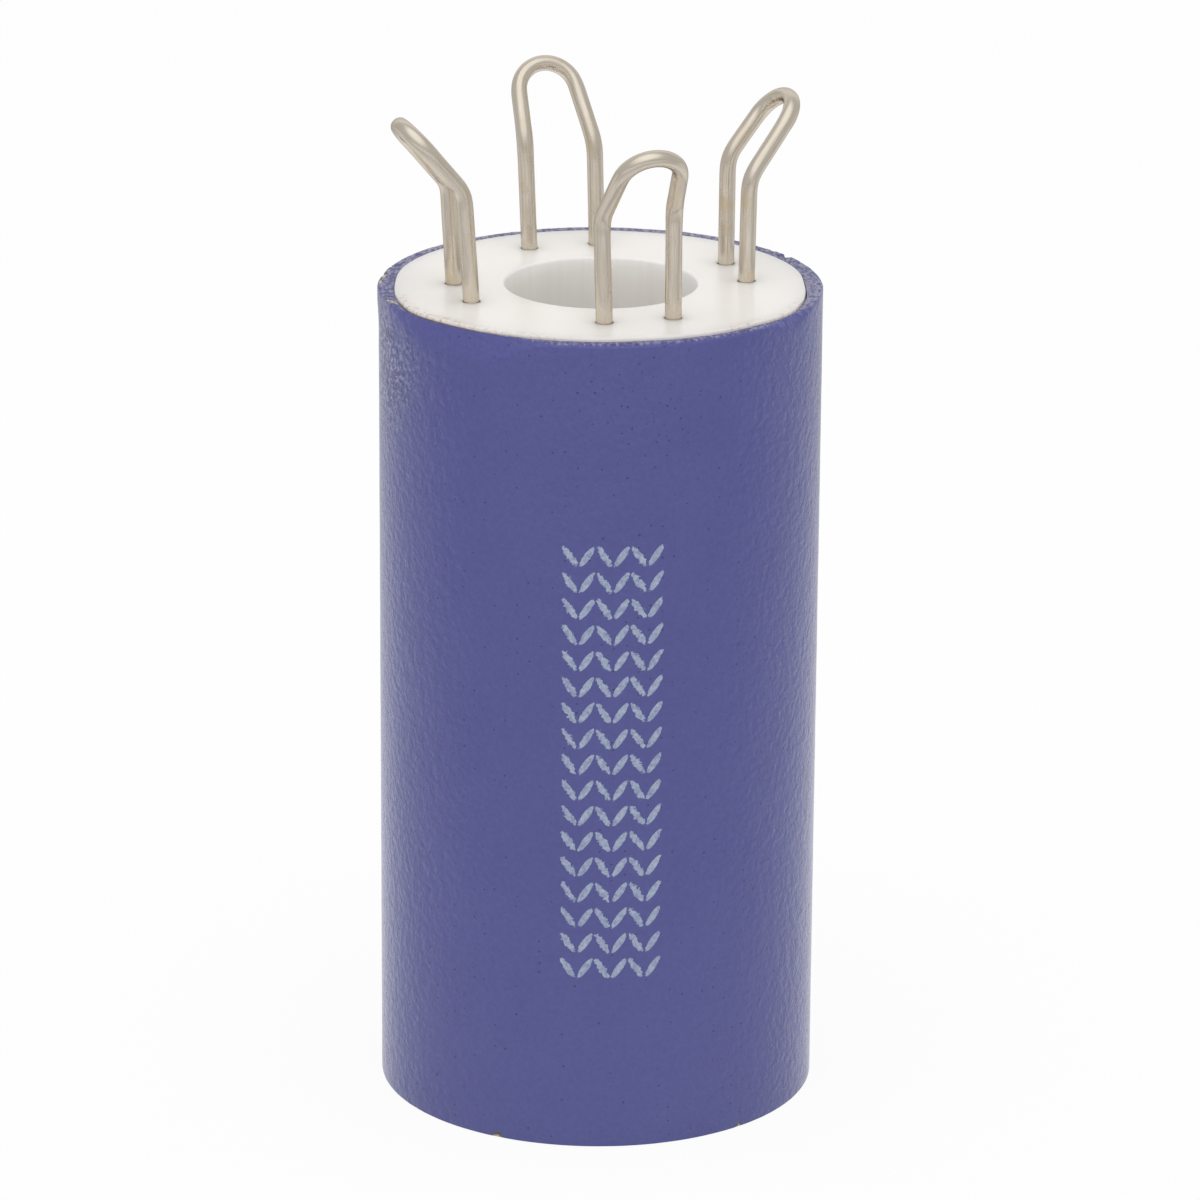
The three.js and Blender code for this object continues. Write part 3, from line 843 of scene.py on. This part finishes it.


# White acetal rod, faced on a lathe, bored and drilled. It is satin and lets light in a few
# millimetres deep, so the bore glows from its mouth down, and dirt is caught where each leg enters,
# with painted shade darkening the holes.
def facedWhitePlastic():
    material, add = newMaterial("faced_white_acetal")
    place = millimetres(add)
    # Handling clouds it a little, 3 mm across.
    clouds = add("TexNoise", {"Vector": place, "Scale": 0.35, "Detail": 3.0})
    white, bright = core["white"], core["brightWhite"]
    handled = add("Mix", {0: clouds, "A": white, "B": bright}, data_type="RGBA")
    flatPlace = add("VectorMath", {0: place, 1: (1.0, 1.0, 0.0)}, operation="MULTIPLY")
    fromAxis = add("VectorMath", {0: flatPlace}, operation="LENGTH")
    bore = core["boreRadius"]
    inBore = add("MapRange", {0: fromAxis, 1: bore + 0.6, 2: bore + 0.1})
    # The bore is a brighter white: clean plastic, and painted light down the bore.
    clean = add("Mix", {0: inBore, "A": handled, "B": core["litBoreWhite"]}, data_type="RGBA")

    # Dirt and painted shade deep in the holes, and a faint tan halo of dirt round each leg, uneven
    # by 0.9 mm.
    nearest = None
    for spot in legPlaces():
        away = add("VectorMath", {0: flatPlace, 1: spot}, operation="DISTANCE")
        if nearest is None:
            nearest = away
        else:
            nearest = add("Math", {0: nearest, 1: away}, operation="MINIMUM")
    height = add("SeparateXYZ", {0: place}).outputs["Z"]
    patchy = add("TexNoise", {"Vector": place, "Scale": 1.1, "Detail": 3.0})
    leg = wire["diameter"] / 2
    uneven = add("Math", {0: patchy, 1: -0.9, 2: nearest}, operation="MULTIPLY_ADD")
    halo = add("MapRange", {0: uneven, 1: leg - 0.1, 2: leg - 0.45, 4: 0.5})
    haloed = add("Mix", {0: halo, "A": clean, "B": core["halo"]}, data_type="RGBA")
    sunkAndShaded = add("MapRange", {0: height, 1: coreFace - 0.01, 2: coreFace - 0.07})
    byLeg = add("MapRange", {0: nearest, 1: leg + 0.5, 2: leg + 0.3, 4: 0.85})
    dirtAndShade = add("Math", {0: sunkAndShaded, 1: byLeg}, operation="MULTIPLY")
    darkened = add("Mix", {0: dirtAndShade, "A": haloed, "B": core["holeDirtAndShade"]}, data_type="RGBA")

    # The rounded edge is painted a little creamier, as painted shade, and dried glue has crept up
    # over it in 0.5 mm dabs.
    onEdge = add("MapRange", {0: height, 1: coreFace - 0.02, 2: coreFace - 0.2, 4: 0.3})
    outside = add("Math", {0: fromAxis, 1: coreRadius - 1}, operation="GREATER_THAN")
    edgeShade = add("Math", {0: onEdge, 1: outside}, operation="MULTIPLY")
    glue = add("Attribute", attribute_name="mark").outputs["Fac"]
    cream = add("Math", {0: glue, 1: 0.4, 2: edgeShade}, operation="MULTIPLY_ADD")
    creamy = add("Mix", {0: cream, "A": darkened, "B": core["cream"]}, data_type="RGBA")
    dabs = add("TexNoise", {"Vector": place, "Scale": 1.9, "Detail": 3.0, "Roughness": 0.7})
    dabbed = add("MapRange", {0: dabs, 1: 0.5, 2: 0.62, 4: 0.8})
    smeared = add("Math", {0: glue, 1: dabbed}, operation="MULTIPLY")
    glued = add("Mix", {0: smeared, "A": creamy, "B": core["glue"]}, data_type="RGBA")

    # The core's side is darker in the seam to the sleeve at the front left.
    seamHeart = atTurn(224, 19, sleeveTop)
    fromSeam = add("VectorMath", {0: place, 1: seamHeart}, operation="DISTANCE")
    bySeam = add("MapRange", {0: fromSeam, 1: 9.5, 2: 7.0, 4: 0.8})
    inSeam = add("MapRange", {0: height, 1: sleeveTop - 0.02, 2: sleeveTop - 0.1})
    seam = add("Math", {0: inSeam, 1: bySeam}, operation="MULTIPLY")
    seamDark = add("Math", {0: seam, 1: outside}, operation="MULTIPLY")
    colour = add("Mix", {0: seamDark, "A": glued, "B": core["seamDark"]}, data_type="RGBA")

    # The tool's lines down the bore, 0.6 mm apart, as a faint tone.
    stretched = add("VectorMath", {0: place, 1: (1.0, 1.0, 0.04)}, operation="MULTIPLY")
    lines = add("TexNoise", {"Vector": stretched, "Scale": 1.6, "Detail": 2.0})
    tone = add("MapRange", {0: lines, 1: 0.3, 2: 0.7, 3: 0.98, 4: 1.02})
    lined = add("Mix", {0: inBore, "A": colour, "B": tone}, data_type="RGBA", blend_type="MULTIPLY")
    surface = add("BsdfPrincipled", {
        "Base Color": lined, "Roughness": core["roughness"], "IOR": core["ior"],
        "Subsurface Weight": 0.6, "Subsurface Scale": core["glow"] * mm,
        "Subsurface Radius": (1.0, 0.97, 0.95),
    })
    add("OutputMaterial", {"Surface": surface})
    return material


def makeCore():
    piece = turnedRing("bored_core", core["segments"], coreSection)
    drill = drilledHoles()
    cut = piece.modifiers.new("holes", "BOOLEAN")
    cut.operation = "DIFFERENCE"
    cut.solver = "EXACT"
    cut.object = drill
    bpy.context.view_layer.update()
    cutPiece = piece.evaluated_get(bpy.context.evaluated_depsgraph_get())
    mesh = bpy.data.meshes.new_from_object(cutPiece)
    piece.modifiers.clear()
    piece.data = mesh
    bpy.data.objects.remove(drill)
    smoothFaces(piece, 35)
    mesh.materials.clear()
    mesh.materials.append(facedWhitePlastic())
    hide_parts("core")
    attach(piece, "root")
    print("core made:", len(mesh.polygons), "faces")


# Studio

# A gloss of three numbers grows between the cosines of two angles, to the third number.
studio = {
    "floorRadius": 2500,
    "floorSides": 96,
    "paper": "#F4F4F3",
    "world": 0.76,                    # what the surroundings give as light
    "worldGloss": 0.6,                # what gloss and metal see of them
    "sweep": (0.966, 0.259),          # out and up to where the paper sweeps up at the back
    "sweepGloss": (0.6, 0.88, 0.35),
    "boxTurn": 262,                   # where the softbox stands
    "boxClimb": 62,                   # degrees
    "boxGloss": (0.62, 0.97, 0.6),
    "keyPower": 4.8,
    "keySize": 1100,
    "keyTurn": 265,
    "keyAway": 380,
    "keyHeight": 1150,
    "floorShows": 0.08,               # how much of the floor's light and shadow shows over white
    "shadeFrom": -70,                 # where the paper's tone to gloss and metal begins to fall
    "shadeTo": 90,                    # towards the camera, and where it has fallen
    "frontGloss": 0.7,
    "nearGloss": (40.0, 1.14),        # and it falls from the knitter outwards: how far, how bright
    "farGloss": (240.0, 0.77),
    "poolTurn": 264,                  # the softbox's light on the paper that way
    "poolStart": 290,                 # and from that far out
    "poolEdge": 22,
    "poolGloss": (0.25, 0.9, 0.36),
}


# Plain white to the eye, and to gloss and metal white that is shaded as the studio is.
def plainWhiteTo(add, eyeShader, glossShader, lightShader):
    rays = add("LightPath").outputs
    cameraRay, clearRay = rays["Is Camera Ray"], rays["Is Transmission Ray"]
    seen = add("Math", {0: cameraRay, 1: clearRay}, operation="MAXIMUM")
    gloss = add("MixShader", {0: rays["Is Glossy Ray"], 1: lightShader, 2: glossShader})
    return add("MixShader", {0: seen, 1: gloss, 2: eyeShader})


def makeWorld():
    world = bpy.data.worlds.new("white_studio")
    bpy.context.scene.world = world
    world.use_nodes = True
    world.node_tree.nodes.clear()
    add = nodeAdder(world.node_tree)

    # Gloss sees the room greyer than the eye does, with the paper's sweep and the softbox in it.
    aim = add("TexCoord").outputs["Generated"]
    climb = math.radians(studio["boxClimb"])
    toSweep = atTurn(90, *studio["sweep"])
    toBox = atTurn(studio["boxTurn"], math.cos(climb), math.sin(climb))
    strength = studio["worldGloss"]
    grown = ((toSweep, studio["sweepGloss"]), (toBox, studio["boxGloss"]))
    for heart, (begin, full, most) in grown:
        aimed = add("VectorMath", {0: aim, 1: heart}, operation="DOT_PRODUCT")
        added = add("MapRange", {0: aimed, 1: begin, 2: full, 4: most},
                    interpolation_type="SMOOTHSTEP")
        strength = add("Math", {0: strength, 1: added}, operation="ADD")
    seen, gloss, light = [
        add("Background", {"Color": (1, 1, 1, 1), "Strength": tone})
        for tone in (1.0, strength, studio["world"])
    ]
    add("OutputWorld", {"Surface": plainWhiteTo(add, seen, gloss, light)})


def makeFloor():
    count = studio["floorSides"]
    rim = [atTurn(360 * i / count, studio["floorRadius"]) for i in range(count)]
    floor = newObject("studio_floor", rim, [tuple(range(count))])
    material, add = newMaterial("pale_seamless_paper")
    paper = add("BsdfDiffuse", {"Color": studio["paper"]})
    white = add("Emission", {"Color": (1, 1, 1, 1), "Strength": 1.0})
    shown = add("MixShader", {0: studio["floorShows"], 1: white, 2: paper})

    # Gloss sees the paper white behind the knitter and greyer in front, with the pool on it.
    place = millimetres(add)
    toCamera = add("VectorMath", {0: place, 1: atTurn(270, 1)}, operation="DOT_PRODUCT")
    shadeFrom, shadeTo, frontGloss = studio["shadeFrom"], studio["shadeTo"], studio["frontGloss"]
    shade = add("MapRange", {0: toCamera, 1: shadeFrom, 2: shadeTo, 3: 1.0, 4: frontGloss},
                interpolation_type="SMOOTHSTEP")
    fromFoot = add("VectorMath", {0: place}, operation="LENGTH")
    toPool = atTurn(studio["poolTurn"], 1)
    poolWay = add("VectorMath", {0: place, 1: toPool}, operation="DOT_PRODUCT")
    cosine = add("Math", {0: poolWay, 1: fromFoot}, operation="DIVIDE")
    begin, full, most = studio["poolGloss"]
    sector = add("MapRange", {0: cosine, 1: begin, 2: full, 4: most},
                 interpolation_type="SMOOTHSTEP")
    poolStart = studio["poolStart"]
    outer = add("MapRange", {0: fromFoot, 1: poolStart, 2: poolStart + studio["poolEdge"]})
    pool = add("Math", {0: sector, 1: outer}, operation="MULTIPLY")
    (near, nearGloss), (far, farGloss) = studio["nearGloss"], studio["farGloss"]
    distance = add("MapRange", {0: fromFoot, 1: near, 2: far, 3: nearGloss, 4: farGloss})
    strength = add("Math", {0: shade, 1: distance, 2: pool}, operation="MULTIPLY_ADD")
    shaded = add("Emission", {"Color": (1, 1, 1, 1), "Strength": strength})
    add("OutputMaterial", {"Surface": plainWhiteTo(add, shown, shaded, paper)})
    floor.data.materials.append(material)


def makeKey():
    lamp = bpy.data.lights.new("key_softbox", "AREA")
    lamp.size = studio["keySize"] * mm
    lamp.energy = studio["keyPower"]
    key = bpy.data.objects.new("key_softbox", lamp)
    place = atTurn(studio["keyTurn"], studio["keyAway"], studio["keyHeight"])
    key.location = place * mm
    key.visible_glossy = False
    key.rotation_euler = (Vector((0, 0, sleeveTop)) - place).to_track_quat("-Z", "Y").to_euler()
    bpy.context.scene.collection.objects.link(key)


def makeCamera():
    pitch, roll = math.radians(photo["pitch"]), math.radians(photo["roll"])
    forward = Vector((0, math.cos(pitch), -math.sin(pitch)))
    right = Vector((1, 0, 0))
    up = right.cross(forward)
    rolledRight = right * math.cos(roll) + up * math.sin(roll)
    rolledUp = up * math.cos(roll) - right * math.sin(roll)
    turn = Matrix.Rotation(math.radians(photo["azimuth"]), 3, "Z")
    axes = turn @ Matrix((rolledRight, rolledUp, -forward)).transposed()
    place = turn @ Vector((photo["aside"], -photo["away"], photo["height"]))
    lens = bpy.data.cameras.new("photo_camera")
    lens.lens = photo["lens"]
    lens.sensor_width = photo["sensor"]
    lens.clip_end = photo["sight"] * mm
    camera = bpy.data.objects.new("photo_camera", lens)
    camera.matrix_world = Matrix.Translation(place * mm) @ axes.to_4x4()
    bpy.context.scene.collection.objects.link(camera)
    bpy.context.scene.camera = camera


bpy.context.scene.view_settings.view_transform = "Standard"
makeCamera()
makeSleeve()
makeCore()
nickelWire = drawnNickelWire()
for hookName, hookBends in hooks.items():
    makeHook(hookName, hookBends, nickelWire)
print("hooks made:", len(hooks))
makeWorld()
makeFloor()
makeKey()
print("studio lit")
